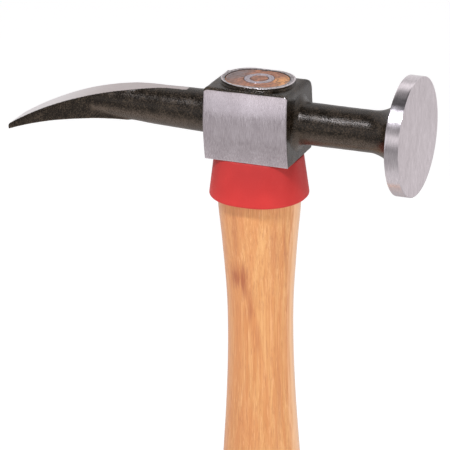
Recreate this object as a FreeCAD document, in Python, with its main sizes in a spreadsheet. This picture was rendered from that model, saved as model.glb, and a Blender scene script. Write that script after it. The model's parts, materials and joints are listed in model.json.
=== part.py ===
import FreeCAD, Part
import math
import os

import Sketcher

# Panel beating hammer: a forged head with a round finishing disc and a curved cross pein, on a hickory handle.
# +X points out of the disc's face, +Z runs up the handle, and the origin is the middle of the handle's butt.
# Every sub-part is drawn about the middle of the eye block and then lifted to it.

SIZES = [
    # Head: eye block
    ("eye_height", 306.0, "butt to the middle of the eye block"),
    ("block_front", 14.7, "middle of the eye to the block's end on the disc side"),
    ("block_back", 15.15, "middle of the eye to the block's end on the pein side"),
    ("block_height", 25.3, "eye block along Z"),
    ("block_width", 22.0, "eye block across its top and bottom edges"),
    ("cheek_crown", 1.3, "swell of each ground cheek at mid height"),
    ("block_end_round", 2.4, "forged rounding where the top meets the two ends"),
    ("block_far_round", 5.2, "forged rounding of the long top edge away from the ground cheek"),
    ("cheek_edge_round", 0.4, "rounding of the edges round the ground cheek"),
    # Head: eye and its raised rim
    ("rim_length", 24.9, "eye rim along X"),
    ("rim_width", 20.3, "eye rim across"),
    ("rim_corner", 9.8, "corner radius of the eye rim"),
    ("rim_offset", 0.35, "how far the rim sits towards the ground cheek"),
    ("rim_rise", 1.1, "eye rim above the block"),
    ("rim_fillet", 0.45, "hollow where the rim meets the block"),
    ("rim_wall_end", 1.2, "rim thickness at its two ends"),
    ("rim_wall_side", 1.6, "rim thickness at its two sides"),
    # Head: neck and finishing disc
    ("neck_root_diameter", 14.3, "neck where it leaves the block"),
    ("neck_diameter", 14.2, "neck where the flare begins"),
    ("root_fillet", 2.5, "hollow where neck and shank meet the block"),
    ("flare_radius", 11.0, "hollow at the back of the disc"),
    ("disc_diameter", 40.0, "finishing disc"),
    ("disc_thickness", 4.9, "edge of the finishing disc"),
    ("disc_reach", 56.05, "middle of the block to the disc's face"),
    ("disc_bevel", 0.15, "bevel round the disc's two edges"),
    # Head: round shank of the pein
    ("shank_root_diameter", 14.65, "shank where it leaves the block"),
    ("shank_end_diameter", 12.5, "shank where it fades into the blade"),
    ("shank_reach", 61.0, "middle of the block to the end of the round shank"),
    ("shank_nose", 3.0, "length over which the round shank closes"),
    ("shank_tilt", 0.4, "upward tilt of the shank in degrees"),
    # Head: curved blade of the pein
    ("pein_reach", 90.2, "middle of the block to the tip"),
    ("ground_start", 26.7, "where the ground top begins"),
    ("ground_height", 7.15, "height of the ground top where it begins"),
    ("ground_radius", 118.0, "radius of the ground top"),
    ("ground_lead", 1.5, "length of the flat run before the ground top starts to bend"),
    ("ground_lift", 0.1, "how much higher the ground top is at the start of that run"),
    ("belly_start", 46.8, "where the underside is highest"),
    ("belly_depth", 5.2, "depth of the underside there"),
    ("belly_radius", 121.0, "radius of the underside towards the tip"),
    ("throat_radius", 26.0, "radius of the underside towards the shank"),
    ("throat_length", 13.0, "length of that curve"),
    ("blade_width", 12.9, "blade across its tip"),
    ("blade_full_reach", 64.0, "where the blade reaches its full width"),
    ("blade_root_width", 9.2, "blade where it comes out of the shank's sides"),
    ("blade_root_reach", 46.0, "where that is"),
    ("tip_corner", 0.7, "corner radius of the tip seen from above"),
    # Handle
    ("tenon_gap", 0.12, "gap round the tenon in the eye"),
    ("tenon_sink", 0.15, "end grain below the top of the eye rim"),
    ("shoulder_depth", 24.6, "wood along X right under the block"),
    ("ferrule_depth", 28.6, "wood along X at the collar's lower end"),
    ("waist_depth", 22.9, "wood along X at the waist"),
    ("swell_depth", 32.6, "wood along X at the fullest part of the grip"),
    ("heel_depth", 29.6, "wood along X above the butt"),
    ("butt_depth", 32.0, "wood along X at the butt"),
    ("waist_drop", 74.0, "middle of the block down to the waist"),
    ("swell_drop", 172.0, "middle of the block down to the fullest part of the grip"),
    ("heel_drop", 264.0, "middle of the block down to the narrow part above the butt"),
    ("butt_round", 4.0, "rounding of the butt"),
    # Ring wedge
    ("ring_diameter", 10.1, "ring wedge across its top"),
    ("ring_bore", 6.3, "bore of the ring wedge"),
    ("ring_depth", 12.0, "how deep the ring wedge is driven"),
    ("ring_edge", 0.6, "wall of the ring wedge at its thin end"),
    ("ring_offset_along", 0.15, "how far the ring wedge was driven off the eye's middle towards the disc"),
    ("ring_offset_across", 0.55, "how far it was driven off the middle away from the ground cheek"),
    ("ring_gap", 0.12, "gap between ring and wood"),
    # Collar
    ("collar_drop", 14.2, "collar along Z"),
    ("collar_top_corner", 9.0, "corner radius of the collar under the block"),
    ("collar_length", 33.8, "collar along X at its lower end"),
    ("collar_width", 31.8, "collar across its lower end"),
    ("collar_corner", 15.6, "corner radius of the collar's lower end"),
    ("collar_round", 0.7, "rounding of the collar's lower rim"),
    # All pieces
    ("overrun", 5.0, "how far a cut runs past the solid"),
]

# How round the wood is: its width across, as a share of its depth along X.
SHOULDER_SHARE = 0.84
FERRULE_SHARE = 0.86
GRIP_SHARE = 0.82

# Handle outline between its named sections: shares of the way down, and of the change in depth.
NECK_SHARES = [(0.2, 0.2), (0.4, 0.5), (0.6, 0.75), (0.8, 0.94)]
SWELL_SHARES = [(0.15, 0.05), (0.3, 0.185), (0.45, 0.385), (0.62, 0.64), (0.8, 0.88)]
HEEL_SHARES = [(0.25, 0.1), (0.5, 0.42), (0.75, 0.84)]
BUTT_SHARES = [(0.5, 0.5)]

# How near is near enough when an edge is picked by its place, and how much of its ledge the rim's hollow fills.
HAIR_SHARE = 0.001
LEDGE_SHARE = 0.98

# Heights and depths that several outlines share, as formulas of the sizes.
BLOCK_TOP = "Sizes.block_height / 2"
RIM_TOP = f"({BLOCK_TOP} + Sizes.rim_rise)"
WOOD_TOP = f"({RIM_TOP} - Sizes.tenon_sink)"
COLLAR_FOOT = f"({BLOCK_TOP} + Sizes.collar_drop)"
EYE_LENGTH = "(Sizes.rim_length - 2 * Sizes.rim_wall_end)"
EYE_WIDTH = "(Sizes.rim_width - 2 * Sizes.rim_wall_side)"
EYE_CORNER = "(Sizes.rim_corner - (Sizes.rim_wall_end + Sizes.rim_wall_side) / 2)"
CUT_REACH = "(Sizes.pein_reach + Sizes.overrun)"


def sagging(radius, run):
    """How far an arc has dropped when it has run a distance from where it is level."""
    return f"({radius} - sqrt({radius} * {radius} - ({run}) * ({run})))"


TOP_DROP = sagging("Sizes.ground_radius", f"{CUT_REACH} - Sizes.ground_start")
BELLY_DROP = sagging("Sizes.belly_radius", f"{CUT_REACH} - Sizes.belly_start")
THROAT_DROP = sagging("Sizes.throat_radius", "Sizes.throat_length")
BLADE_DEPTH = f"(Sizes.belly_depth + {BELLY_DROP})"

document = FreeCAD.newDocument("curved_peen_hammer")


def fill_sheet():
    """The driving dimensions, one row each: name, value in millimetres or degrees, and what it is."""
    cells = document.addObject("Spreadsheet::Sheet", "Sizes")
    for row, (name, number, note) in enumerate(SIZES, start=1):
        cells.set(f"A{row}", name)
        cells.set(f"B{row}", str(number))
        cells.set(f"C{row}", note)
        cells.setAlias(f"B{row}", name)
    document.recompute()
    return cells


sheet = fill_sheet()


def value(formula):
    """The number that a formula of sheet sizes has now."""
    return float(sheet.evalExpression(formula.replace("Sizes.", "")))


def body_named(name):
    """A sub-part's body, lifted to the eye block."""
    body = document.addObject("PartDesign::Body", name)
    body.Label = name
    body.setExpression("Placement.Base.z", "Sizes.eye_height")
    return body


def sketch_on(body, name, role, height=None):
    """A sketch on one of the body's own planes, moved along the plane's normal by a formula."""
    sketch = body.newObject("Sketcher::SketchObject", name)
    plane = next(item for item in body.Origin.OriginFeatures if item.Role == role)
    sketch.AttachmentSupport = [(plane, "")]
    sketch.MapMode = "FlatFace"
    if height is not None:
        sketch.setExpression("AttachmentOffset.Base.z", height)
    return sketch


def bind(sketch, kind, *where, formula):
    """Adds a dimension to a sketch and ties it to the sheet."""
    index = sketch.addConstraint(Sketcher.Constraint(kind, *where, value(formula)))
    sketch.setExpression(f"Constraints[{index}]", formula)


def place(sketch, geometry, point, across, up):
    """Puts a point of a sketch at two formulas, measured from the sketch's origin."""
    bind(sketch, "DistanceX", -1, 1, geometry, point, formula=across)
    bind(sketch, "DistanceY", -1, 1, geometry, point, formula=up)


def add_arc(sketch, start, end, radius, side):
    """The short arc from start to end that bulges to the left (1) or the right (-1) of that way."""
    chord = end - start
    across = FreeCAD.Vector(-chord.y, chord.x, 0).normalize()
    rise = math.sqrt(max(radius ** 2 - (chord.Length / 2) ** 2, 0))
    centre = (start + end) * 0.5 - across * rise * side
    first, last = (end, start) if side > 0 else (start, end)
    begin = math.atan2(first.y - centre.y, first.x - centre.x)
    finish = math.atan2(last.y - centre.y, last.x - centre.x)
    circle = Part.Circle(centre, FreeCAD.Vector(0, 0, 1), radius)
    geometry = sketch.addGeometry(Part.ArcOfCircle(circle, begin, finish))
    return (geometry, 2, 1) if side > 0 else (geometry, 1, 2)


def outline(sketch, corners):
    """A closed outline. A corner is two formulas, and a radius and a side where an arc leaves it."""
    points = [FreeCAD.Vector(value(corner[0]), value(corner[1]), 0) for corner in corners]
    edges = []
    for index, corner in enumerate(corners):
        start = points[index]
        end = points[(index + 1) % len(points)]
        if len(corner) == 2:
            edges.append((sketch.addGeometry(Part.LineSegment(start, end)), 1, 2))
        else:
            edges.append(add_arc(sketch, start, end, value(corner[2]), corner[3]))
            bind(sketch, "Radius", edges[-1][0], formula=corner[2])
    for index, (geometry, begin, finish) in enumerate(edges):
        place(sketch, geometry, begin, corners[index][0], corners[index][1])
        following = edges[(index + 1) % len(edges)]
        sketch.addConstraint(Sketcher.Constraint("Coincident", geometry, finish, following[0], following[1]))
    return sketch


def rounded_oval(sketch, length, width, corner):
    """A rectangle about the sketch's origin, with corners so round that it reads as an oval."""
    end = f"{length} / 2"
    side = f"{width} / 2"
    flat = f"({end} - {corner})"
    rise = f"({side} - {corner})"
    return outline(sketch, [
        (f"-{flat}", f"-{side}"),
        (flat, f"-{side}", corner, -1),
        (end, f"-{rise}"),
        (end, rise, corner, -1),
        (flat, side),
        (f"-{flat}", side, corner, -1),
        (f"-{end}", rise),
        (f"-{end}", f"-{rise}", corner, -1),
    ])


def ellipse(sketch, depth, share):
    """An ellipse about the sketch's origin, long along X, its width a share of its depth."""
    half = value(f"{depth} / 2")
    geometry = sketch.addGeometry(Part.Ellipse(FreeCAD.Vector(0, 0, 0), half, half * share))
    sketch.exposeInternalGeometry(geometry)
    major = geometry + 1
    minor = geometry + 2
    sketch.addConstraint(Sketcher.Constraint("Coincident", geometry, 3, -1, 1))
    sketch.addConstraint(Sketcher.Constraint("Horizontal", major))
    bind(sketch, "Distance", major, formula=depth)
    bind(sketch, "Distance", minor, formula=f"({depth}) * {share}")
    return sketch


def feature_on(body, kind, name, sketch):
    """A feature of the body that takes its outline from a sketch."""
    feature = body.newObject(f"PartDesign::{kind}", name)
    feature.Profile = sketch
    return feature


def pad(body, name, sketch, length):
    feature = feature_on(body, "Pad", name, sketch)
    feature.setExpression("Length", length)
    document.recompute()
    return feature


def cut_through(body, name, sketch):
    """Removes the outline right through the body, on both sides of the sketch."""
    before = body.Shape.Volume
    feature = feature_on(body, "Pocket", name, sketch)
    feature.Type = "ThroughAll"
    feature.Midplane = True
    document.recompute()
    if not body.Shape.Volume < before:
        raise RuntimeError(f"{name} removes nothing")


def turn(body, kind, name, sketch, axis):
    """A full revolution, added or removed, about one of the sketch's own axes."""
    feature = feature_on(body, kind, name, sketch)
    feature.ReferenceAxis = (sketch, [axis])
    feature.Angle = 360
    document.recompute()
    return feature


def loft(body, kind, name, sections):
    feature = feature_on(body, kind, name, sections[0])
    feature.Sections = sections[1:]
    document.recompute()
    return feature


def round_edges(body, name, radius, chosen):
    """A fillet on every edge of the body that the test picks."""
    document.recompute()
    base = body.Tip
    edges = [f"Edge{number}" for number, edge in enumerate(base.Shape.Edges, start=1) if chosen(edge)]
    if not edges:
        raise RuntimeError(f"{name} finds no edge")
    feature = body.newObject("PartDesign::Fillet", name)
    feature.Base = (base, edges)
    feature.setExpression("Radius", radius)
    document.recompute()


def level_with(edge, height):
    """Whether all of an edge lies at a height."""
    box = edge.BoundBox
    return max(abs(box.ZMin - height), abs(box.ZMax - height)) < edge.Length * HAIR_SHARE


def round_block_end(body, name, way, end, side):
    """Rounds the top of one end of the block, right across it."""
    start = f"{way}({end} - Sizes.block_end_round)"
    beyond = f"{way}({end} + Sizes.overrun)"
    low = f"{BLOCK_TOP} - Sizes.block_end_round"
    high = f"{BLOCK_TOP} + Sizes.overrun"
    cut_through(body, name, outline(sketch_on(body, f"{name}_profile", "XZ_Plane"), [
        (start, BLOCK_TOP, "Sizes.block_end_round", side),
        (f"{way}{end}", low),
        (beyond, low),
        (beyond, high),
        (start, high),
    ]))


def make_block(body):
    """The eye block: flat above and below, with two crowned cheeks, of which the one at -Y is ground."""
    half = "Sizes.block_width / 2"
    crown = "Sizes.cheek_crown"
    radius = f"(({BLOCK_TOP}) * ({BLOCK_TOP}) + {crown} * {crown}) / (2 * {crown})"
    shoulder = f"({BLOCK_TOP} - Sizes.block_far_round)"
    far = f"({half} + {crown} - {sagging(f'({radius})', shoulder)})"
    section = outline(sketch_on(body, "block_section", "YZ_Plane", "-Sizes.block_back"), [
        (f"-{half}", f"-{BLOCK_TOP}"),
        (half, f"-{BLOCK_TOP}", radius, -1),
        (far, shoulder, "Sizes.block_far_round", -1),
        (f"{far} - Sizes.block_far_round", BLOCK_TOP),
        (f"-{half}", BLOCK_TOP, radius, -1),
    ])
    pad(body, "block", section, "(Sizes.block_front + Sizes.block_back)")
    round_block_end(body, "front_rounding", "", "Sizes.block_front", 1)
    round_block_end(body, "back_rounding", "-", "Sizes.block_back", -1)
    middle = -value(half)
    round_edges(body, "cheek_edges", "Sizes.cheek_edge_round",
                lambda edge: edge.CenterOfMass.y < middle and not level_with(edge, -value(BLOCK_TOP)))


def make_neck(body):
    """The neck and the finishing disc, turned about X, with a hollow at each end of the neck."""
    inner = "Sizes.block_front - Sizes.rim_wall_end"
    wall = "Sizes.block_front"
    root = "Sizes.neck_root_diameter / 2"
    neck = "Sizes.neck_diameter / 2"
    back = "(Sizes.disc_reach - Sizes.disc_thickness)"
    rim = "Sizes.disc_diameter / 2"
    bevel = "Sizes.disc_bevel"
    profile = outline(sketch_on(body, "neck_profile", "XZ_Plane"), [
        (inner, "0"),
        ("Sizes.disc_reach", "0"),
        ("Sizes.disc_reach", f"{rim} - {bevel}"),
        (f"Sizes.disc_reach - {bevel}", rim),
        (f"{back} + {bevel}", rim),
        (back, f"{rim} - {bevel}"),
        (back, f"{neck} + Sizes.flare_radius", "Sizes.flare_radius", 1),
        (f"{back} - Sizes.flare_radius", neck),
        (f"{wall} + Sizes.root_fillet", root, "Sizes.root_fillet", 1),
        (wall, f"{root} + Sizes.root_fillet"),
        (inner, f"{root} + Sizes.root_fillet"),
    ])
    turn(body, "Revolution", "neck_and_disc", profile, "H_Axis")


def blade_plan(sketch, start):
    """The blade seen from above: from a point inside the shank out to its full width and its tip."""
    side = "Sizes.blade_width / 2"
    corner = "Sizes.tip_corner"
    return outline(sketch, [
        (f"-{start}", "0"),
        ("-Sizes.blade_root_reach", "Sizes.blade_root_width / 2"),
        ("-Sizes.blade_full_reach", side),
        (f"-(Sizes.pein_reach - {corner})", side, corner, 1),
        ("-Sizes.pein_reach", f"{side} - {corner}"),
        ("-Sizes.pein_reach", f"-({side} - {corner})", corner, 1),
        (f"-(Sizes.pein_reach - {corner})", f"-{side}"),
        ("-Sizes.blade_full_reach", f"-{side}"),
        ("-Sizes.blade_root_reach", "-Sizes.blade_root_width / 2"),
    ])


def make_pein(body):
    """The round shank and the blade that grows out of its sides, then ground above and hollowed below."""
    inner = "Sizes.block_back - Sizes.rim_wall_end"
    wall = "Sizes.block_back"
    root = "Sizes.shank_root_diameter / 2"
    nose = "Sizes.shank_end_diameter / 2"
    nose_radius = f"({nose} * {nose} + Sizes.shank_nose * Sizes.shank_nose) / (2 * Sizes.shank_nose)"
    sketch = sketch_on(body, "shank_profile", "XZ_Plane")
    sketch.AttachmentOffset = FreeCAD.Placement(
        FreeCAD.Vector(0, 0, 0), FreeCAD.Rotation(FreeCAD.Vector(0, 0, -1), value("Sizes.shank_tilt")))
    sketch.setExpression("AttachmentOffset.Rotation.Angle", "Sizes.shank_tilt")
    outline(sketch, [
        (f"-({inner})", "0"),
        (f"-({inner})", f"{root} + Sizes.root_fillet"),
        (f"-{wall}", f"{root} + Sizes.root_fillet", "Sizes.root_fillet", 1),
        (f"-({wall} + Sizes.root_fillet)", root),
        ("-(Sizes.shank_reach - Sizes.shank_nose)", nose, nose_radius, -1),
        ("-Sizes.shank_reach", "0"),
    ])
    turn(body, "Revolution", "shank", sketch, "H_Axis")

    ceiling = "(Sizes.ground_height + Sizes.overrun)"
    upper = blade_plan(sketch_on(body, "blade_upper_plan", "XY_Plane"), "Sizes.ground_start")
    pad(body, "blade_upper", upper, ceiling)
    lower = blade_plan(sketch_on(body, "blade_lower_plan", "XY_Plane", f"-{BLADE_DEPTH}"),
                       "(Sizes.belly_start - Sizes.throat_length / 2)")
    pad(body, "blade_lower", lower, BLADE_DEPTH)

    above = outline(sketch_on(body, "ground_profile", "XZ_Plane"), [
        ("-Sizes.ground_start", "Sizes.ground_height"),
        ("-(Sizes.ground_start - Sizes.ground_lead)", "Sizes.ground_height + Sizes.ground_lift"),
        ("-(Sizes.ground_start - Sizes.ground_lead)", f"{ceiling} + Sizes.overrun"),
        (f"-{CUT_REACH}", f"{ceiling} + Sizes.overrun"),
        (f"-{CUT_REACH}", f"Sizes.ground_height - {TOP_DROP}", "Sizes.ground_radius", 1),
    ])
    cut_through(body, "ground_top", above)

    throat = "(Sizes.belly_start - Sizes.throat_length)"
    below = outline(sketch_on(body, "belly_profile", "XZ_Plane"), [
        ("-Sizes.belly_start", "-Sizes.belly_depth", "Sizes.belly_radius", -1),
        (f"-{CUT_REACH}", f"-{BLADE_DEPTH}"),
        (f"-{CUT_REACH}", f"-({BLADE_DEPTH} + Sizes.overrun)"),
        (f"-{throat}", f"-({BLADE_DEPTH} + Sizes.overrun)"),
        (f"-{throat}", f"-(Sizes.belly_depth + {THROAT_DROP})", "Sizes.throat_radius", -1),
    ])
    cut_through(body, "belly", below)


def make_eye(body):
    """The raised rim on top of the block, and the eye that runs right down through it."""
    sketch = sketch_on(body, "rim_outline", "XY_Plane")
    sketch.setExpression("AttachmentOffset.Base.y", "-Sizes.rim_offset")
    rim = rounded_oval(sketch, "Sizes.rim_length", "Sizes.rim_width", "Sizes.rim_corner")
    pad(body, "rim", rim, RIM_TOP)
    top = value(BLOCK_TOP)
    low = value(f"{BLOCK_TOP} - Sizes.block_far_round")
    end = value("Sizes.rim_length / 2")
    side = value("Sizes.rim_width / 2 + Sizes.rim_offset") * (1 + HAIR_SHARE)
    ledge = "((Sizes.block_width - Sizes.rim_width) / 2 - Sizes.rim_offset - Sizes.cheek_edge_round)"
    round_edges(body, "rim_fillets", f"min(Sizes.rim_fillet; {ledge} * {LEDGE_SHARE})",
                lambda edge: low < edge.BoundBox.ZMin and edge.BoundBox.ZMax < top + edge.Length * HAIR_SHARE
                and abs(edge.CenterOfMass.x) < end and abs(edge.CenterOfMass.y) < side)
    eye = rounded_oval(sketch_on(body, "eye_outline", "XY_Plane"), EYE_LENGTH, EYE_WIDTH, EYE_CORNER)
    cut_through(body, "eye", eye)


def make_head():
    """One forging: block, disc, pein and eye."""
    body = body_named("hammer_head")
    make_block(body)
    make_neck(body)
    make_pein(body)
    make_eye(body)
    return body


def between(first, last, share):
    return f"({first} + ({last} - {first}) * {share})"


def wood_section(body, name, drop, depth, share):
    """One section of the handle, as far below the middle of the block as drop says."""
    return ellipse(sketch_on(body, name, "XY_Plane", f"-{drop}"), depth, share)


def seat_sections(body, name):
    """The straight taper of wood that the collar sits on: under the block, and at the collar's foot."""
    return [
        wood_section(body, f"{name}_top", f"({BLOCK_TOP})", "Sizes.shoulder_depth", SHOULDER_SHARE),
        wood_section(body, f"{name}_foot", COLLAR_FOOT, "Sizes.ferrule_depth", FERRULE_SHARE),
    ]


def grip_stations():
    """Each section of the bare handle from the collar down: its drop, its depth and how round it is."""
    named = [
        (COLLAR_FOOT, "Sizes.ferrule_depth", FERRULE_SHARE),
        ("Sizes.waist_drop", "Sizes.waist_depth", GRIP_SHARE),
        ("Sizes.swell_drop", "Sizes.swell_depth", GRIP_SHARE),
        ("Sizes.heel_drop", "Sizes.heel_depth", GRIP_SHARE),
        ("Sizes.eye_height", "Sizes.butt_depth", GRIP_SHARE),
    ]
    stations = [named[0]]
    for upper, lower, shares in zip(named, named[1:], [NECK_SHARES, SWELL_SHARES, HEEL_SHARES, BUTT_SHARES]):
        for way, change in shares:
            roundness = upper[2] + (lower[2] - upper[2]) * change
            stations.append((between(upper[0], lower[0], way), between(upper[1], lower[1], change), roundness))
        stations.append(lower)
    return stations


def ring_outline(body, name, gap):
    """The ring wedge's section: a wall that thins downwards, widened on both faces by a gap."""
    sketch = sketch_on(body, name, "XZ_Plane", "-Sizes.ring_offset_across")
    sketch.setExpression("AttachmentOffset.Base.x", "Sizes.ring_offset_along")
    outer = "Sizes.ring_diameter / 2"
    bore = "Sizes.ring_bore / 2"
    middle = "(Sizes.ring_diameter + Sizes.ring_bore) / 4"
    thin = "Sizes.ring_edge / 2"
    foot = f"{WOOD_TOP} - Sizes.ring_depth"
    return outline(sketch, [
        (f"{bore} - {gap}", WOOD_TOP),
        (f"{middle} - {thin} - {gap}", foot),
        (f"{middle} + {thin} + {gap}", foot),
        (f"{outer} + {gap}", WOOD_TOP),
    ])


def make_handle():
    """Hickory: a tenon through the eye, the taper inside the collar, and the grip, with a slot for the ring."""
    body = body_named("handle")
    tenon = rounded_oval(sketch_on(body, "tenon_outline", "XY_Plane", f"-{BLOCK_TOP}"),
                         f"({EYE_LENGTH} - 2 * Sizes.tenon_gap)", f"({EYE_WIDTH} - 2 * Sizes.tenon_gap)",
                         f"({EYE_CORNER} - Sizes.tenon_gap)")
    pad(body, "tenon", tenon, f"{BLOCK_TOP} + {WOOD_TOP}")
    loft(body, "AdditiveLoft", "collar_seat", seat_sections(body, "seat"))
    sections = [wood_section(body, f"grip_section_{number}", *station)
                for number, station in enumerate(grip_stations(), start=1)]
    loft(body, "AdditiveLoft", "grip", sections)
    butt = value("-Sizes.eye_height")
    round_edges(body, "butt_rounding", "Sizes.butt_round", lambda edge: level_with(edge, butt))
    slot = ring_outline(body, "ring_slot_section", "Sizes.ring_gap")
    turn(body, "Groove", "ring_slot", slot, "V_Axis")
    return body


def make_ring():
    """The tapered steel ring that spreads the tenon in the eye."""
    body = body_named("ring_wedge")
    section = ring_outline(body, "ring_section", "0")
    turn(body, "Revolution", "ring", section, "V_Axis")
    return body


def make_collar():
    """The moulded collar: the block's own outline at its top, spreading to a round lower rim."""
    body = body_named("collar")
    top = rounded_oval(sketch_on(body, "collar_top", "XY_Plane", f"-{BLOCK_TOP}"),
                       "2 * Sizes.block_front", "Sizes.block_width", "Sizes.collar_top_corner")
    foot = rounded_oval(sketch_on(body, "collar_foot", "XY_Plane", f"-{COLLAR_FOOT}"),
                        "Sizes.collar_length", "Sizes.collar_width", "Sizes.collar_corner")
    loft(body, "AdditiveLoft", "collar_shell", [top, foot])
    loft(body, "SubtractiveLoft", "collar_bore", seat_sections(body, "bore"))
    low = value(f"-{COLLAR_FOOT}")
    outside = value("(Sizes.collar_width + Sizes.ferrule_depth) / 4")
    round_edges(body, "collar_rim", "Sizes.collar_round",
                lambda edge: level_with(edge, low)
                and all(math.hypot(vertex.X, vertex.Y) > outside for vertex in edge.Vertexes))
    return body


def check_and_write(bodies):
    """Every object has to be up to date and every sub-part one valid solid before any file is written."""
    document.recompute()
    for item in document.Objects:
        if "Invalid" in item.State or "Error" in item.State:
            raise RuntimeError(f"{item.Name} failed: {item.State}")
    for body in bodies:
        if body.Shape.isNull() or not body.Shape.isValid() or len(body.Shape.Solids) != 1:
            raise RuntimeError(f"{body.Label} is not one valid solid")
    os.makedirs("parts", exist_ok=True)
    for body in bodies:
        body.Shape.exportStep(f"parts/{body.Label}.step")
        print(body.Label, round(body.Shape.Volume), "mm3", body.Shape.BoundBox)


check_and_write([make_head(), make_handle(), make_ring(), make_collar()])
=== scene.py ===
import json
import math
import bmesh
import bpy
from mathutils import Matrix, Vector, noise
from mathutils.bvhtree import BVHTree


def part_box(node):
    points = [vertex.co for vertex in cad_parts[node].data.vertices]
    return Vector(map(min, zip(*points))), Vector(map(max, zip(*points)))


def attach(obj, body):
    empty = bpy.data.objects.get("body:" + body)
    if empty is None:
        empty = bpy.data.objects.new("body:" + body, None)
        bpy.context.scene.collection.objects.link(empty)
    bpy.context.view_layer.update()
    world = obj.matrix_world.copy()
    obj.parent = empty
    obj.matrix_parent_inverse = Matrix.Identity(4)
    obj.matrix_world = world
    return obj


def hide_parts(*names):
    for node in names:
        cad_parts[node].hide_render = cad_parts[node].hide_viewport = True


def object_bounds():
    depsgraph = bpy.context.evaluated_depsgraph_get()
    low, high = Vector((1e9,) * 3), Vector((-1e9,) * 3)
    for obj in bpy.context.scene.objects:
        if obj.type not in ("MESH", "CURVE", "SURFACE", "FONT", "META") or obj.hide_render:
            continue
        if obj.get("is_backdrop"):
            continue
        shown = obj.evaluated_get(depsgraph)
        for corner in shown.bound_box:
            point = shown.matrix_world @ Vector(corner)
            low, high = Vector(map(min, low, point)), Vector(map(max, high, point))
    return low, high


# A panel beating hammer, seen from a little above its head.
# Sizes are in millimetres about the middle of the eye block, and its ground cheek faces -Y.
# +X points to the disc's face, +Z up. Lamps, cards and the floor are in metres.

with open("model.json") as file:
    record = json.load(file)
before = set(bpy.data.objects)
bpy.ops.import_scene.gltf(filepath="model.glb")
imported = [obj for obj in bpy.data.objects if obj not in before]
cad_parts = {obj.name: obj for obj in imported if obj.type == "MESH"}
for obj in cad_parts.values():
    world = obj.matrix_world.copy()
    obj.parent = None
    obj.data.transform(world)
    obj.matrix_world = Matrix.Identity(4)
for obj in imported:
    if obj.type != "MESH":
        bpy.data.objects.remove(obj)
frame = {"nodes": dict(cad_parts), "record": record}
cad_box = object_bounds()
MM = 0.001
EYE = Vector(frame["record"]["mounts"][0]["pos_m"])
EYE.x = 0.0

# Camera
CAMERA_AZIMUTH = math.radians(21.928)
CAMERA_ELEVATION = math.radians(19.508)
CAMERA_DISTANCE = 1.0
CAMERA_YAW = math.radians(22.638)
CAMERA_PITCH = math.radians(21.552)
CAMERA_ROLL = math.radians(-0.791)
CAMERA_LENS = 240.48
SENSOR = 36.0

# How far the rim, neck and pein reach into the block, and a gap too small to see
SUNK = 1.0
HAIR = 0.01
TINY = 1e-6
# The forged skin's unevenness: how deep, and how long its waves are
BLOCK_SKIN = (0.12, 5.0)
SHAFT_SKIN = (0.1, 6.0)

# Eye block
BLOCK_FRONT = 14.7
BLOCK_BACK = 15.15
BLOCK_TOP = 12.65
BLOCK_SIDE = 11.0
CHEEK_CROWN = 1.3
FRONT_ROUND = 2.4
FRONT_NEAR_ROUND = 1.3
BACK_ROUND = 2.0
BACK_NEAR_ROUND = 1.6
FAR_ROUND = 5.2
CHEEK_EDGE = 0.4
FOOT_EDGE = 0.25
GROUND_FRONT = 14.56
GROUND_BACK = 15.0
GROUND_TOP_FRONT = 0.2
GROUND_TOP_BACK = 0.6

# Eye rim and what stands in it
RIM_LENGTH = 25.3
RIM_WIDTH = 20.0
RIM_CORNER = 9.9
RIM_FAR_BACK_CORNER = 8.9
RIM_FAR_FRONT_CORNER = 9.4
RIM_SHIFT = (-0.1, -0.1)
RIM_LEAN = 0.11
RIM_TOP = 13.75
RIM_FILLET = 0.45
RIM_EDGE = 0.22
EYE_LENGTH = 22.0
EYE_WIDTH = 17.1
EYE_CORNER = 8.4
TENON_GAP = 0.2
WOOD_TOP = 13.6
RING_OUTER = 5.05
RING_BORE = 3.15
RING_DEPTH = 12.0
RING_SHIFT = (0.15, 0.55)
SLOT_GAP = 0.22
SLOT_DEPTH = 1.6
MOUTH_SHIFT = (-0.25, 0.0)
CORNER_TURN_SHARE = 0.3
MOUTH_DEPTH = 4.0
TENON_EDGE = 0.15
SLOT_EDGE = 0.1
RING_EDGE = 0.18
RING_FOOT = 0.3

# Neck and disc
ROOT_FILLET = 2.5
NECK_ROOT = 7.15
NECK = 7.1
FLARE = 11.0
DISC = 20.0
DISC_THICKNESS = 4.9
DISC_EDGE = 0.15
DISC_CROWN = 0.1
DISC_BACK_LAND = 1.0

# Pein
SHANK_ROOT = 7.325
SHANK_END = 6.25
SHANK_END_X = 58.0
SHANK_NOSE = 3.0
SHANK_TILT = math.radians(0.4)
GROUND_START = 26.7
GROUND_HEIGHT = 7.15
GROUND_RADIUS = 118.0
GROUND_LEAD = 1.5
GROUND_LIFT = 0.1
BELLY_START = 46.8
BELLY_DEPTH = 5.2
BELLY_RADIUS = 121.0
THROAT_RADIUS = 26.0
THROAT_LENGTH = 13.0
BLADE_SIDE = 6.45
BLADE_FULL = 64.0
BLADE_ROOT_SIDE = 4.6
BLADE_ROOT = 46.0
TIP_ROUND = 0.7
SIDE_BLEND = 0.25
TOP_BLEND = 0.1
TOP_BLEND_GAIN = 0.4
LOW_BLEND = 0.35
WIDEST = 40.0
STATION_STEP = 0.4
EDGE_CLEAR = 0.15
EDGE_BEFORE = 0.01
EDGE_AFTER = 0.06
GROUND_DEPTH = 0.1

# Handle below the block, and collar
BUTT_ROUND = 4.0
BUTT_STEP = 0.02
OUTSIDE = 50.0
COLLAR_FOOT = 26.85
COLLAR_ROUND = 0.7
COLLAR_GAP = 0.02
COLLAR_LIP = 1.5
COLLAR_TOP_EDGE = 0.15
COLLAR_TOP_DROP = 0.1
BORE_GAP = 0.05
MOUTH_FLARE = 0.35
FOOT_LIFT = 0.001

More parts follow.
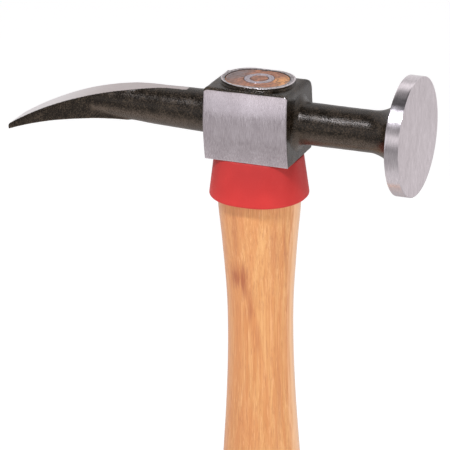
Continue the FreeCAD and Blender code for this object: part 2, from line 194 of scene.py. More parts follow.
# Light
KEY_PLACE = (-0.02, -0.40, 0.52)
KEY_SIZE = (0.34, 0.24)
KEY_POWER = 0.5
CORE_SHARE = 0.99
CORE_SIZE = (0.32, 0.07)
CORE_POWER = 3.0
LAMP_COLOUR = (0.93, 0.94, 1.0)
# Two cards low on the left, mirrored in the ground cheek
CARD_PLACE = (-0.108, -0.279, -0.018)
CARD_SIZE = (0.05, 0.07)
CARD_POWER = 0.0072
LOW_CARD_PLACE = (-0.108, -0.279, -0.1)
LOW_CARD_SIZE = (0.05, 0.09)
LOW_CARD_POWER = 0.0014
FILL_RIGHT_PLACE = (0.8, -0.55, 0.1)
FILL_LEFT_PLACE = (-0.8, -0.45, 0.1)
FILL_SIZE = (0.8, 0.8)
FILL_RIGHT_POWER = 3.6
FILL_LEFT_POWER = 1.2
FLOOR_REACH = 6.0
FLOOR_GLOW = 0.752
WHITE = (1.0, 0.975, 0.985)
BRIGHTEST = 2.0
# Over which Y of a direction the surroundings turn from those in front to those behind
FRONT_TO_BACK = (-0.04, 0.1)

# How bright the surroundings are, by the height of a direction from -1 (down) to 1 (up)
FRONT_LEVELS = ((-1.0, 0.75), (-0.84, 0.74), (-0.67, 0.53), (-0.5, 0.42), (-0.334, 0.41), (-0.25, 0.36),
                (-0.15, 0.31), (-0.05, 0.43), (0.05, 0.7), (0.13, 0.86), (0.2, 0.88), (0.26, 0.8),
                (0.34, 0.48), (0.45, 0.32), (0.87, 0.1), (1.0, 0.08))
BACK_LEVELS = ((-1.0, 0.7), (-0.8, 0.55), (-0.5, 0.62), (-0.34, 0.77), (-0.09, 0.78), (0.34, 0.74),
               (0.41, 0.76), (0.51, 0.6), (0.62, 0.7), (0.7, 0.97), (0.8, 1.0), (0.86, 0.66),
               (0.9, 0.34), (0.94, 0.18), (1.0, 0.08))

# Where finishes, painted shade and painted highlights change, along X, Y or Z
CHEEK_SHADE_X = (8.0, -13.0)
CHEEK_SHADE_Z = (3.0, 8.0)
BRIGHT_TIP_X = (-50.0, -78.0)
DULL_EDGE_Z = (-7.0, -17.0)
BROWN_WOOD_X = (3.0, -3.5)
# Where the painted highlight on the handle's right side lies, along X and Y
PAINTED_HIGHLIGHT_X = (0.0, 4.0)
PAINTED_HIGHLIGHT_Y = (2.0, 8.0)
# How far the painted shadow under the collar's foot reaches down
COLLAR_SHADOW_DROP = 1.6
GREY_END_X = (-9.0, -2.5)
FRESH_END_X = (4.5, 9.5)
BAND_WIDTH = 3.1
END_BAND_WIDTH = 1.7

# Stains in the wood: where, how far they reach, how strong
SMUDGES = (((-4.3, -12.0, -54.0), (4.2, 6.0, 6.0), 0.9),
           ((-3.6, -12.0, -55.0), (2.2, 6.0, 3.4), 0.7),
           ((-1.7, -12.0, -59.0), (1.3, 6.0, 4.5), 0.5),
           ((-4.6, -11.0, -37.5), (1.4, 5.0, 12.0), 0.35),
           ((0.2, -12.0, -65.0), (1.9, 6.0, 8.0), 0.55),
           ((2.2, -12.0, -77.0), (1.2, 6.0, 8.0), 0.45),
           ((11.3, -6.0, -44.0), (0.5, 5.0, 12.0), 0.4),
           ((9.2, -10.0, -92.0), (1.6, 6.0, 26.0), 0.4),
           ((8.6, -8.5, -43.0), (1.8, 6.0, 12.0), 0.25))

AROUND = 256
FORGED, GROUND, POLISHED = 0, 1, 2


def sag(radius, run):
    """How far a circle has dropped a distance along from its top."""
    return radius - math.sqrt(max(radius * radius - run * run, 0.0))


def arc(centre, radius, begin, finish, steps):
    """Points along an arc, ends included; angles in radians."""
    angles = [begin + (finish - begin) * step / steps for step in range(steps + 1)]
    return [(centre[0] + radius * math.cos(angle), centre[1] + radius * math.sin(angle)) for angle in angles]


def line(start, end, steps):
    """Points from start up to but not including end."""
    return [tuple(a + (b - a) * step / steps for a, b in zip(start, end)) for step in range(steps)]


def skin(name, rings, materials, kind=None, closed=False, node=None):
    """A mesh through rings of points in millimetres. The first and last ring may be a single point."""
    points = []
    index = []
    for ring in rings:
        index.append(list(range(len(points), len(points) + len(ring))))
        points.extend(ring)
    faces = []
    kinds = []
    pairs = list(zip(range(len(rings)), range(1, len(rings)))) + ([(len(rings) - 1, 0)] if closed else [])
    for low, high in pairs:
        a, b = index[low], index[high]
        count = max(len(a), len(b))
        for i in range(count):
            j = (i + 1) % count
            if len(a) == 1:
                faces.append((a[0], b[j], b[i]))
            elif len(b) == 1:
                faces.append((a[i], a[j], b[0]))
            else:
                faces.append((a[i], a[j], b[j], b[i]))
            kinds.append(kind(low, i) if kind else 0)
    mesh = bpy.data.meshes.new(name)
    mesh.from_pydata([EYE + Vector(point) * MM for point in points], [], faces)
    mesh.polygons.foreach_set("material_index", kinds)
    mesh.polygons.foreach_set("use_smooth", [True] * len(faces))
    for material in materials:
        mesh.materials.append(material)
    mesh.validate()
    shell = bmesh.new()
    shell.from_mesh(mesh)
    if shell.calc_volume(signed=True) < 0:
        bmesh.ops.reverse_faces(shell, faces=shell.faces)
    shell.to_mesh(mesh)
    shell.free()
    piece = bpy.data.objects.new(name, mesh)
    bpy.context.scene.collection.objects.link(piece)
    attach(piece, "root")
    if node:
        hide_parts(node)
    return piece


def closing(ring, centre, shares):
    """Rings that shrink towards a point, and the point itself."""
    smaller_rings = [[tuple(c + (v - c) * share for v, c in zip(point, centre)) for point in ring]
                     for share in shares]
    return smaller_rings + [[centre]]


def soften(piece, kinds, depth, size):
    """Presses a forging's skin in by a low, slow unevenness, where its faces are of the given kinds."""
    mesh = piece.data
    loose = set()
    held = set()
    for face in mesh.polygons:
        (loose if face.material_index in kinds else held).update(face.vertices)
    normals = [vertex.normal.copy() for vertex in mesh.vertices]
    for number in loose - held:
        vertex = mesh.vertices[number]
        wave = 0.5 + 0.5 * noise.fractal(vertex.co / (size * MM), 0.8, 2.0, 3)
        vertex.co -= normals[number] * depth * MM * max(0.0, min(1.0, wave))


def cheek_radius():
    """A cheek bulges evenly from the block's foot to its top."""
    return (BLOCK_TOP ** 2 + CHEEK_CROWN ** 2) / (2 * CHEEK_CROWN)


def block_ring(x, near_top, far_top, inset):
    """The eye block's outline at x: near cheek, top, rounded far edge, far cheek and foot."""
    cheek = cheek_radius()
    near = (-(BLOCK_SIDE + CHEEK_CROWN) + cheek, 0.0)
    far = (BLOCK_SIDE + CHEEK_CROWN - cheek, 0.0)
    foot = -(BLOCK_TOP - inset)
    level = near_top - inset
    shoulder = BLOCK_TOP - FAR_ROUND
    turn = (far[0] + math.sqrt(cheek ** 2 - shoulder ** 2) - FAR_ROUND, shoulder)

    def corner(centre, side, height, radius, way):
        """Where a small rounding between a cheek and a level line has its centre."""
        z = height - way * radius
        reach = math.sqrt((cheek - inset - radius) ** 2 - z ** 2)
        return (centre[0] + side * reach, z)

    low_near = corner(near, -1, foot, FOOT_EDGE, -1)
    high_near = corner(near, -1, level, CHEEK_EDGE, 1)
    low_far = corner(far, 1, foot, FOOT_EDGE, -1)
    lean_low = math.atan2(low_near[1], near[0] - low_near[0])
    lean_high = math.atan2(high_near[1], near[0] - high_near[0])
    lean_far = math.atan2(low_far[1], low_far[0] - far[0])
    lean_turn = math.asin(shoulder / cheek)
    rise = math.asin(max(-1.0, min(1.0, (far_top - inset - turn[1]) / (FAR_ROUND - inset))))
    ring = []
    ring += arc(low_near, FOOT_EDGE, -math.pi / 2, -math.pi - lean_low, 5)[:-1]
    share = (x + BLOCK_BACK) / (BLOCK_FRONT + BLOCK_BACK)
    dark = GROUND_TOP_BACK + (GROUND_TOP_FRONT - GROUND_TOP_BACK) * share
    lean_ground = math.asin((level - CHEEK_EDGE - dark) / (cheek - inset))
    ring += arc(near, cheek - inset, -math.pi - lean_low, -math.pi - lean_ground, 56)[:-1]
    ring += arc(near, cheek - inset, -math.pi - lean_ground, -math.pi - lean_high, 4)[:-1]
    ring += arc(high_near, CHEEK_EDGE, math.pi - lean_high, math.pi / 2, 6)
    bend = arc(turn, FAR_ROUND - inset, rise, 0.0, 20)
    ring += line(ring.pop(), bend[0], 24)
    ring += bend[:-1]
    ring += arc(far, cheek - inset, lean_turn, lean_far, 40)[:-1]
    ring += arc(low_far, FOOT_EDGE, lean_far, -math.pi / 2, 5)[:-1]
    ring += line((low_far[0], foot), (low_near[0], foot), 30)
    return [(x, y, z) for y, z in ring]


# Steps of that outline that lie on the ground part of the near cheek
CHEEK_FIRST = 2
CHEEK_LAST = 61


def block_stations():
    """Where along X the block's outline is drawn, with its near and far top and how far its sides draw in."""
    stations = []
    for way, end, near, radius in ((-1, BLOCK_BACK, BACK_NEAR_ROUND, BACK_ROUND),
                                   (1, BLOCK_FRONT, FRONT_NEAR_ROUND, FRONT_ROUND)):
        side = []
        for step in range(17):
            turned = math.pi / 2 * step / 16
            reach = end - radius + radius * math.sin(turned)
            top = BLOCK_TOP - radius + radius * math.cos(turned)
            near_top = BLOCK_TOP - sag(near, max(0.0, reach - (end - near)))
            inset = sag(CHEEK_EDGE, max(0.0, reach - (end - CHEEK_EDGE)))
            side.append((way * reach, near_top, top, inset))
        stations.append(side)
    back, front = stations
    middle = [(back[0][0] + (front[0][0] - back[0][0]) * step / 30, BLOCK_TOP, BLOCK_TOP, 0.0)
              for step in range(1, 30)]
    return back[::-1] + middle + front


def make_block(materials):
    stations = block_stations()
    rings = [block_ring(*station) for station in stations]
    shares = (0.92, 0.75, 0.5, 0.25)
    first = closing(rings[0], (stations[0][0], 0.0, 0.0), shares)[::-1]
    last = closing(rings[-1], (stations[-1][0], 0.0, 0.0), shares)
    rings = first + rings + last
    places = [ring[0][0] for ring in rings]

    def kind(low, i):
        ground = -GROUND_BACK < (places[low] + places[low + 1]) / 2 < GROUND_FRONT
        return GROUND if ground and CHEEK_FIRST <= i < CHEEK_LAST else FORGED

    piece = skin("head_block", rings, materials, kind)
    soften(piece, (FORGED,), *BLOCK_SKIN)
    return piece


def block_top(x, y):
    """Height of the block's top surface over a point."""
    height = BLOCK_TOP
    height -= sag(FRONT_ROUND, max(0.0, x - (BLOCK_FRONT - FRONT_ROUND)))
    height -= sag(BACK_ROUND, max(0.0, -x - (BLOCK_BACK - BACK_ROUND)))
    shoulder = BLOCK_TOP - FAR_ROUND
    cheek = cheek_radius()
    start = BLOCK_SIDE + CHEEK_CROWN - sag(cheek, shoulder) - FAR_ROUND
    return height - sag(FAR_ROUND, max(0.0, y - start))


def oval_reach(angle, length, width, corners):
    """From the middle of a rounded oval to its outline; corners are near, far back and far front."""
    front_share = max(0.0, min(1.0, 0.5 + math.cos(angle) / CORNER_TURN_SHARE))
    far_share = max(0.0, min(1.0, math.sin(angle) / CORNER_TURN_SHARE))
    far = corners[1] + (corners[2] - corners[1]) * front_share
    corner = corners[0] + (far - corners[0]) * far_share
    across, up = abs(math.cos(angle)), abs(math.sin(angle))
    a, b = length / 2, width / 2
    if up * a <= across * (b - corner):
        return a / across
    if across * b <= up * (a - corner):
        return b / up
    dot = across * (a - corner) + up * (b - corner)
    return dot + math.sqrt(dot * dot - (a - corner) ** 2 - (b - corner) ** 2 + corner ** 2)


def oval(length, width, corners, grow, shift, height, lean=0.0):
    """A rounded oval as a ring, grown by a distance; height is a number or a function of x and y.

    Its near side is drawn in towards the back, by the share of the distance back that is given.
    """
    ring = []
    for step in range(AROUND):
        angle = 2 * math.pi * step / AROUND
        reach = oval_reach(angle, length + 2 * grow, width + 2 * grow, [corner + grow for corner in corners])
        x, y = reach * math.cos(angle) + shift[0], reach * math.sin(angle) + shift[1]
        y += lean * max(0.0, -x) * max(0.0, -2 * y / width)
        ring.append((x, y, height(x, y) if callable(height) else height))
    return ring


def make_rim(materials):
    """The raised rim of the eye: hollow foot, upright wall, worn flat top and the mouth of the eye."""
    outer = (RIM_LENGTH, RIM_WIDTH, (RIM_CORNER, RIM_FAR_BACK_CORNER, RIM_FAR_FRONT_CORNER))
    inner = (EYE_LENGTH, EYE_WIDTH, (EYE_CORNER,) * 3)
    rings = [oval(*outer, RIM_FILLET, RIM_SHIFT, lambda x, y: block_top(x, y) - SUNK, RIM_LEAN)]
    for step in range(9):
        turned = math.pi / 2 * step / 8
        grow = RIM_FILLET * (1 - math.sin(turned))
        lift = RIM_FILLET * (1 - math.cos(turned))
        rings.append(oval(*outer, grow, RIM_SHIFT, lambda x, y: block_top(x, y) + lift, RIM_LEAN))
    for step in range(5):
        turned = math.pi / 2 * step / 4
        rings.append(oval(*outer, -RIM_EDGE * (1 - math.cos(turned)), RIM_SHIFT,
                          RIM_TOP - RIM_EDGE * (1 - math.sin(turned)), RIM_LEAN))
    mouth = []
    for step in range(5):
        turned = math.pi / 2 * step / 4
        mouth.append(oval(*inner, RIM_EDGE * (1 - math.sin(turned)), MOUTH_SHIFT,
                          RIM_TOP - RIM_EDGE * (1 - math.cos(turned))))
    edge = rings[-1]
    edge_first = len(rings) - 4
    edge_last = len(rings)
    for share in (0.25, 0.5, 0.75):
        rings.append([tuple(a + (b - a) * share for a, b in zip(p, q)) for p, q in zip(edge, mouth[0])])
    rings += mouth
    rings.append(oval(*inner, 0.0, MOUTH_SHIFT, RIM_TOP - MOUTH_DEPTH))

    def kind(low, i):
        if edge_first <= low < edge_last:
            return GROUND
        return POLISHED if edge_last <= low < edge_last + 5 else FORGED

    return skin("head_rim", rings, materials, kind, closed=True)


def lathe_x(profile):
    """Rings about the X axis through points of x and radius; a radius of 0 is a single point."""
    rings = []
    for x, radius in profile:
        if radius == 0:
            rings.append([(x, 0.0, 0.0)])
        else:
            rings.append([(x, radius * math.cos(2 * math.pi * step / AROUND),
                           radius * math.sin(2 * math.pi * step / AROUND)) for step in range(AROUND)])
    return rings


def make_neck_and_disc(materials):
    face = (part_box("hammer_head")[1].x - EYE.x) / MM
    back = face - DISC_THICKNESS
    profile = [(BLOCK_FRONT - SUNK, 0.0), (BLOCK_FRONT - SUNK, NECK_ROOT + ROOT_FILLET)]
    hollow = (BLOCK_FRONT + ROOT_FILLET, NECK_ROOT + ROOT_FILLET)
    profile += arc(hollow, ROOT_FILLET, -math.pi, -math.pi / 2, 12)
    start = profile[-1]
    flare = arc((back - FLARE, NECK + FLARE), FLARE, -math.pi / 2, 0.0, 24)
    profile += line(start, flare[0], 40)[1:] + flare
    profile += [(back, DISC - DISC_BACK_LAND)]
    profile += arc((back + DISC_EDGE, DISC - DISC_EDGE), DISC_EDGE, math.pi, math.pi / 2, 4)
    forged_last = len(profile) - 2
    band_first = len(profile) - 1
    profile += line(profile[-1], (face - DISC_CROWN - DISC_EDGE, DISC), 8)[1:]
    profile += arc((face - DISC_CROWN - DISC_EDGE, DISC - DISC_EDGE), DISC_EDGE, math.pi / 2, 0.0, 4)
    band_last = len(profile) - 1
    rim = DISC - DISC_EDGE
    for share in (0.985, 0.93, 0.8, 0.6, 0.4, 0.2, 0.0):
        profile.append((face - DISC_CROWN * share ** 2, rim * share))

    def kind(low, i):
        if low < forged_last:
            return FORGED
        return POLISHED if band_first - 1 <= low < band_last else GROUND

    piece = skin("neck_and_disc", lathe_x(profile), materials, kind)
    soften(piece, (FORGED,), *SHAFT_SKIN)
    return piece


def smaller(a, b, blend):
    """The smaller of two lengths, with the corner between them rounded."""
    return (a + b - math.sqrt((a - b) ** 2 + blend ** 2)) / 2


def larger(a, b, blend):
    """The larger of two lengths, with the corner between them rounded."""
    return (a + b + math.sqrt((a - b) ** 2 + blend ** 2)) / 2


def pein_limits(reach):
    """Ground top, underside and half the blade's width above and below, at a distance from the eye."""
    if reach < GROUND_START - GROUND_LEAD:
        top = None
    elif reach < GROUND_START:
        top = GROUND_HEIGHT + GROUND_LIFT * (GROUND_START - reach) / GROUND_LEAD
    else:
        top = GROUND_HEIGHT - sag(GROUND_RADIUS, reach - GROUND_START)
    if reach < BELLY_START:
        run = BELLY_START - reach
        low = None if reach < GROUND_START else -BELLY_DEPTH - sag(THROAT_RADIUS, run)
    else:
        low = -BELLY_DEPTH - sag(BELLY_RADIUS, reach - BELLY_START)
    if reach < BLADE_ROOT:
        side, low_side = (max(0.0, BLADE_ROOT_SIDE * (reach - start) / (BLADE_ROOT - start))
                          for start in (GROUND_START, BELLY_START - THROAT_LENGTH / 2))
        return top, low, side, low_side
    share = min(1.0, (reach - BLADE_ROOT) / (BLADE_FULL - BLADE_ROOT))
    side = BLADE_ROOT_SIDE + (BLADE_SIDE - BLADE_ROOT_SIDE) * share
    return top, low, side, side


def shank_circle(reach):
    """Height and radius of the round shank."""
    height = reach * math.tan(SHANK_TILT)
    wall = BLOCK_BACK + ROOT_FILLET
    if reach < wall:
        return height, SHANK_ROOT + sag(ROOT_FILLET, wall - reach)
    radius = SHANK_ROOT + (SHANK_END - SHANK_ROOT) * (reach - wall) / (SHANK_END_X - wall)
    if reach > SHANK_END_X:
        past = min((reach - SHANK_END_X) / SHANK_NOSE, 1.0)
        radius = SHANK_END * math.sqrt(1 - past * past)
    return height, radius


def pein_ring(reach, draw_in=0.0):
    """The pein's section: the wider of the round shank and the flat-sided blade, cut above and below."""
    top, low, upper_side, low_side = pein_limits(reach)
    height, radius = shank_circle(reach)
    share = max(0.0, min(1.0, (reach - GROUND_START) / (BELLY_START - GROUND_START)))
    eased = share * share * (3 - 2 * share)
    middle = height if low is None else height + eased * ((top + low) / 2 - height)
    ring = []
    for step in range(AROUND):
        angle = 2 * math.pi * step / AROUND
        y, z = math.cos(angle), math.sin(angle)
        side = upper_side if z >= 0 else low_side
        offset = middle - height
        inside = radius * radius - (offset * y) ** 2
        reach_round = -offset * z + math.sqrt(inside) if inside > 0 else 0.0
        reach_side = (side - draw_in) / max(abs(y), TINY)
        length = reach_round
        if side > 0:
            length = larger(max(reach_round, 0.0), min(reach_side, WIDEST), SIDE_BLEND)
        if top is not None and z > TINY:
            top_blend = TOP_BLEND + TOP_BLEND_GAIN * side / BLADE_SIDE
            length = smaller(length, (top - draw_in - middle) / z, top_blend)
        if low is not None and z < -TINY:
            length = smaller(length, (low + draw_in - middle) / z, LOW_BLEND)
        ring.append((-reach, y * length, middle + z * length))
    return ring


def make_pein(materials):
    tip = -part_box("hammer_head")[0].x / MM
    start = BLOCK_BACK - SUNK
    stations = [start, BLOCK_BACK]
    stations += [BLOCK_BACK + ROOT_FILLET * (1 - math.cos(math.pi / 2 * step / 10)) for step in range(1, 10)]
    reach = BLOCK_BACK + ROOT_FILLET
    while reach < tip - TIP_ROUND - STATION_STEP / 2:
        stations.append(reach)
        reach += STATION_STEP
    edge = GROUND_START - GROUND_LEAD
    stations = [place for place in stations if abs(place - edge) > EDGE_CLEAR]
    stations = sorted(stations + [edge - EDGE_BEFORE, edge + EDGE_AFTER])
    rings = [pein_ring(place) for place in stations]
    for step in range(1, 7):
        turned = math.pi / 2 * step / 6
        rings.append(pein_ring(tip - TIP_ROUND * (1 - math.sin(turned)), TIP_ROUND * (1 - math.cos(turned))))
    middle = sum(point[2] for point in rings[-1]) / AROUND
    rings += closing(rings[-1], (-tip, 0.0, middle), (0.6, 0.3))
    rings = [[(-start, 0.0, 0.0)]] + rings
    count = len(stations)

    def kind(low, i):
        if low < 1 or low > count:
            return FORGED
        for ring in rings[low:low + 2]:
            top = pein_limits(-ring[0][0])[0]
            if top is None or min(ring[i][2], ring[(i + 1) % AROUND][2]) - top <= -GROUND_DEPTH:
                return FORGED
        return GROUND

    piece = skin("pein", rings, materials, kind)
    soften(piece, (FORGED,), *SHAFT_SKIN)
    return piece


def outside_of(node):
    """A function that finds a node's outer surface from outside, level with a height."""
    mesh = frame["nodes"][node].data
    corners = [vertex.co for vertex in mesh.vertices]
    tree = BVHTree.FromPolygons(corners, [face.vertices for face in mesh.polygons])

    def ring(height, inward=0.0):
        points = []
        for step in range(AROUND):
            angle = 2 * math.pi * step / AROUND
            away = Vector((math.cos(angle), math.sin(angle), 0.0))
            axis = Vector((EYE.x, EYE.y, EYE.z + height * MM))
            hit = tree.ray_cast(axis + away * OUTSIDE * MM, -away)[0]
            reach = (hit - axis).length / MM - inward
            points.append((reach * math.cos(angle), reach * math.sin(angle), height))
        return points
    return ring


def circle(radius, height):
    """A ring about the wedge's axis."""
    angles = [2 * math.pi * step / AROUND for step in range(AROUND)]
    return [(RING_SHIFT[0] + radius * math.cos(angle), RING_SHIFT[1] + radius * math.sin(angle), height)
            for angle in angles]


def make_handle(materials):
    """One piece of hickory: butt, grip, the seat of the collar, and the tenon with its slot for the ring."""
    surface = outside_of("handle")
    butt = -EYE.z / MM
    first = surface(butt + BUTT_STEP)
    rings = closing([(x, y, butt) for x, y, z in first], (0.0, 0.0, butt), (0.97, 0.8, 0.5, 0.25))[::-1]
    for step in range(12):
        rings.append(surface(butt + BUTT_STEP + BUTT_ROUND * (1 - math.cos(math.pi / 2 * step / 12))))
    height = butt + BUTT_ROUND
    foot = -COLLAR_FOOT
    count = 120
    for step in range(count):
        rings.append(surface(height + (foot - height) * step / count))
    seat = COLLAR_FOOT - BLOCK_TOP - HAIR
    for step in range(12):
        rings.append(surface(foot + seat * step / 11))
    tenon = (EYE_LENGTH - 2 * TENON_GAP, EYE_WIDTH - 2 * TENON_GAP, (EYE_CORNER - TENON_GAP,) * 3)
    rings.append(oval(*tenon, 0.0, MOUTH_SHIFT, -BLOCK_TOP))
    rings.append(oval(*tenon, 0.0, MOUTH_SHIFT, 0.0))
    for step in range(5):
        turned = math.pi / 2 * step / 4
        rings.append(oval(*tenon, -TENON_EDGE * (1 - math.cos(turned)), MOUTH_SHIFT,
                          WOOD_TOP - TENON_EDGE * (1 - math.sin(turned))))
    outline = rings[-1]
    end_grain_first = len(rings) - 1
    slot = circle(RING_OUTER + SLOT_GAP + SLOT_EDGE, WOOD_TOP)
    for share in (0.1, 0.25, 0.5, 0.75, 0.9, 1.0):
        rings.append([tuple(a + (b - a) * share for a, b in zip(p, q)) for p, q in zip(outline, slot)])
    rings.append(circle(RING_OUTER + SLOT_GAP, WOOD_TOP - SLOT_EDGE))
    rings.append(circle(RING_OUTER + SLOT_GAP, WOOD_TOP - SLOT_DEPTH))
    rings.append(circle(RING_BORE - SLOT_GAP, WOOD_TOP - SLOT_DEPTH))
    rings.append(circle(RING_BORE - SLOT_GAP, WOOD_TOP - SLOT_EDGE))
    rings.append(circle(RING_BORE - SLOT_GAP - SLOT_EDGE, WOOD_TOP))
    rings += closing(rings[-1], (*RING_SHIFT, WOOD_TOP), (0.75, 0.5, 0.25))

    def kind(low, i):
        return 1 if low >= end_grain_first else 0

    return skin("handle_wood", rings, materials, kind, node="handle")


def make_ring_wedge(materials):
    middle = (RING_OUTER + RING_BORE) / 2
    profile = [(middle - RING_FOOT, WOOD_TOP - RING_DEPTH)]
    profile += arc((RING_BORE + RING_EDGE, WOOD_TOP - RING_EDGE), RING_EDGE, math.pi, math.pi / 2, 4)
    profile += line(profile[-1], (RING_OUTER - RING_EDGE, WOOD_TOP), 6)[1:]
    profile += arc((RING_OUTER - RING_EDGE, WOOD_TOP - RING_EDGE), RING_EDGE, math.pi / 2, 0.0, 4)
    profile += [(middle + RING_FOOT, WOOD_TOP - RING_DEPTH)]
    rings = [circle(radius, height) for radius, height in profile]
    return skin("ring_wedge_steel", rings, materials, closed=True, node="ring_wedge")


def make_collar(materials):
    surface = outside_of("collar")
    wood = outside_of("handle")
    top = -BLOCK_TOP - COLLAR_GAP
    foot = -COLLAR_FOOT
    rings = [wood(top, -BORE_GAP), surface(top, COLLAR_LIP), surface(top, COLLAR_TOP_EDGE)]
    upper = top - COLLAR_TOP_DROP
    count = 24
    for step in range(count):
        rings.append(surface(upper + (foot + COLLAR_ROUND - upper) * step / count))
    base = surface(foot + COLLAR_ROUND)
    for step in range(9):
        turned = math.pi / 2 * step / 8
        inward = COLLAR_ROUND * (1 - math.cos(turned))
        height = foot + COLLAR_ROUND * (1 - math.sin(turned))
        rings.append([(x * (1 - inward / math.hypot(x, y)), y * (1 - inward / math.hypot(x, y)), height)
                      for x, y, z in base])
    rings.append(wood(foot + FOOT_LIFT, -MOUTH_FLARE))
    rings.append(wood(foot + MOUTH_FLARE, -BORE_GAP))
    return skin("collar_shell", rings, materials, closed=True, node="collar")


def node(tree, kind, inputs=None, output=0, **settings):
    """Adds a shader node; an input is a value or another node's output."""
    made = tree.nodes.new(kind)
    for key, value in settings.items():
        setattr(made, key, value)
    for key, value in (inputs or {}).items():
        if isinstance(value, bpy.types.NodeSocket):
            tree.links.new(value, made.inputs[key])
        else:
            made.inputs[key].default_value = value
    return made.outputs[output]


def place_in_mm(tree):
    """The point being shaded, in millimetres about the middle of the eye block."""
    point = node(tree, "ShaderNodeTexCoord", output="Object")
    inputs = {0: point, 1: (1 / MM,) * 3, 2: -EYE / MM}
    return node(tree, "ShaderNodeVectorMath", inputs, operation="MULTIPLY_ADD")


def stretched(tree, point, scales):
    """A point scaled along each axis: a small scale draws a pattern out."""
    return node(tree, "ShaderNodeVectorMath", {0: point, 1: scales}, operation="MULTIPLY")


def speckle(tree, point, scale, detail=2.0, roughness=0.5):
    """Soft random noise from 0 to 1; a larger scale makes finer grains."""
    inputs = {"Vector": point, "Scale": scale, "Detail": detail, "Roughness": roughness}
    return node(tree, "ShaderNodeTexNoise", inputs)


def remap(tree, value, begin, end, low=0.0, high=1.0, smooth=True):
    """From low to high as the value goes from begin to end."""
    inputs = {"Value": value, "From Min": begin, "From Max": end, "To Min": low, "To Max": high}
    return node(tree, "ShaderNodeMapRange", inputs, interpolation_type="SMOOTHSTEP" if smooth else "LINEAR")


def maths(tree, operation, a, b=0.0, c=0.0):
    return node(tree, "ShaderNodeMath", {0: a, 1: b, 2: c}, operation=operation)


def axes(tree, point):
    split = tree.nodes.new("ShaderNodeSeparateXYZ")
    tree.links.new(point, split.inputs[0])
    return split.outputs


def blend(tree, factor, a, b):
    """From colour a to colour b as the factor goes from 0 to 1."""
    return node(tree, "ShaderNodeMix", {0: factor, 6: a, 7: b}, output=2, data_type="RGBA")


def tint(red, green, blue):
    return (red, green, blue, 1.0)


def ramp(tree, value, stops):
    made = tree.nodes.new("ShaderNodeValToRGB")
    elements = made.color_ramp.elements
    for number, (place, colour) in enumerate(stops):
        element = elements[number] if number < 2 else elements.new(place)
        element.position = place
        element.color = colour
    tree.links.new(value, made.inputs[0])
    return made.outputs[0]


def bump(tree, height, depth, normal=None):
    """Relief from a height of 0 to 1; depth in millimetres."""
    inputs = {"Height": height, "Distance": depth * MM, "Strength": 1.0}
    if normal is not None:
        inputs["Normal"] = normal
    return node(tree, "ShaderNodeBump", inputs)


def finish_of(name):
    """A new material, its node tree and a way to set its shader's inputs."""
    material = bpy.data.materials.new(name)
    material.use_nodes = True
    tree = material.node_tree
    shader = tree.nodes["Principled BSDF"]

    def set_inputs(**values):
        for key, value in values.items():
            socket = shader.inputs[key.replace("_", " ")]
            if isinstance(value, bpy.types.NodeSocket):
                tree.links.new(value, socket)
            else:
                socket.default_value = value
    return material, tree, set_inputs


def forged_black():
    """Scale-black forging: orange peel, brown and pale specks, satin sheen, and painted floor light that
    makes it paler where it faces down.
    """
    material, tree, shade = finish_of("forged_black")
    point = place_in_mm(tree)
    facing = axes(tree, node(tree, "ShaderNodeNewGeometry", output="Normal"))[2]
    fine = speckle(tree, point, 2.2, 3.0, 0.7)
    broad = speckle(tree, point, 0.3, 3.0, 0.6)
    mottle = maths(tree, "MULTIPLY_ADD", broad, 0.3, maths(tree, "MULTIPLY", fine, 0.7))
    scale = ramp(tree, mottle, ((0.42, tint(0.003, 0.0018, 0.0006)), (0.5, tint(0.007, 0.0042, 0.0018)),
                                (0.60, tint(0.046, 0.032, 0.020))))
    # Painted floor light: a paler copy of the scale colour, used where the skin faces down
    floor_lit = ramp(tree, mottle, ((0.40, tint(0.032, 0.022, 0.014)), (0.60, tint(0.078, 0.056, 0.040))))
    shade(Base_Color=blend(tree, remap(tree, facing, 0.05, -0.35), scale, floor_lit),
          Roughness=remap(tree, mottle, 0.40, 0.60, 0.2, 0.36),
          IOR=1.475,
          Specular_Tint=tint(1.0, 0.93, 0.88),
          Normal=bump(tree, speckle(tree, point, 1.8, 3.0, 0.65), 0.055))
    return material


def cheek_shadow(tree, x, y, z):
    """Painted shade: darkens the cheek's upper corner at the pein's side."""
    return maths(tree, "MULTIPLY", remap(tree, x, *CHEEK_SHADE_X, 0.0, 0.2), remap(tree, z, *CHEEK_SHADE_Z))


def face_shadow(tree, x, y, z):
    """The disc's face is a little darker than the cheek all over, and painted shade darkens it more towards
    its top.
    """
    return remap(tree, z, -DISC, DISC, 0.075, 0.19, smooth=False)


def ground_steel(name, shadow):
    """Bare steel, finely ground up and down, darkened towards black by the painted shade it is given."""
    material, tree, shade = finish_of(name)
    point = place_in_mm(tree)
    lines = speckle(tree, stretched(tree, point, (1.0, 1.0, 0.06)), 6.5, 2.0, 0.6)
    cloud = speckle(tree, stretched(tree, point, (1.0, 1.0, 0.4)), 0.3, 3.0)
    tone = maths(tree, "MULTIPLY_ADD", lines, 0.75, maths(tree, "MULTIPLY", cloud, 0.25))
    colour = ramp(tree, tone, ((0.36, tint(0.61, 0.543, 0.576)), (0.5, tint(0.767, 0.686, 0.72)),
                               (0.64, tint(0.94, 0.86, 0.907))))
    shade(Base_Color=blend(tree, shadow(tree, *axes(tree, point)), colour, tint(0.0, 0.0, 0.0)),
          Metallic=1.0,
          Roughness=remap(tree, lines, 0.3, 0.7, 0.15, 0.24),
          Normal=bump(tree, lines, 0.006))
    return material


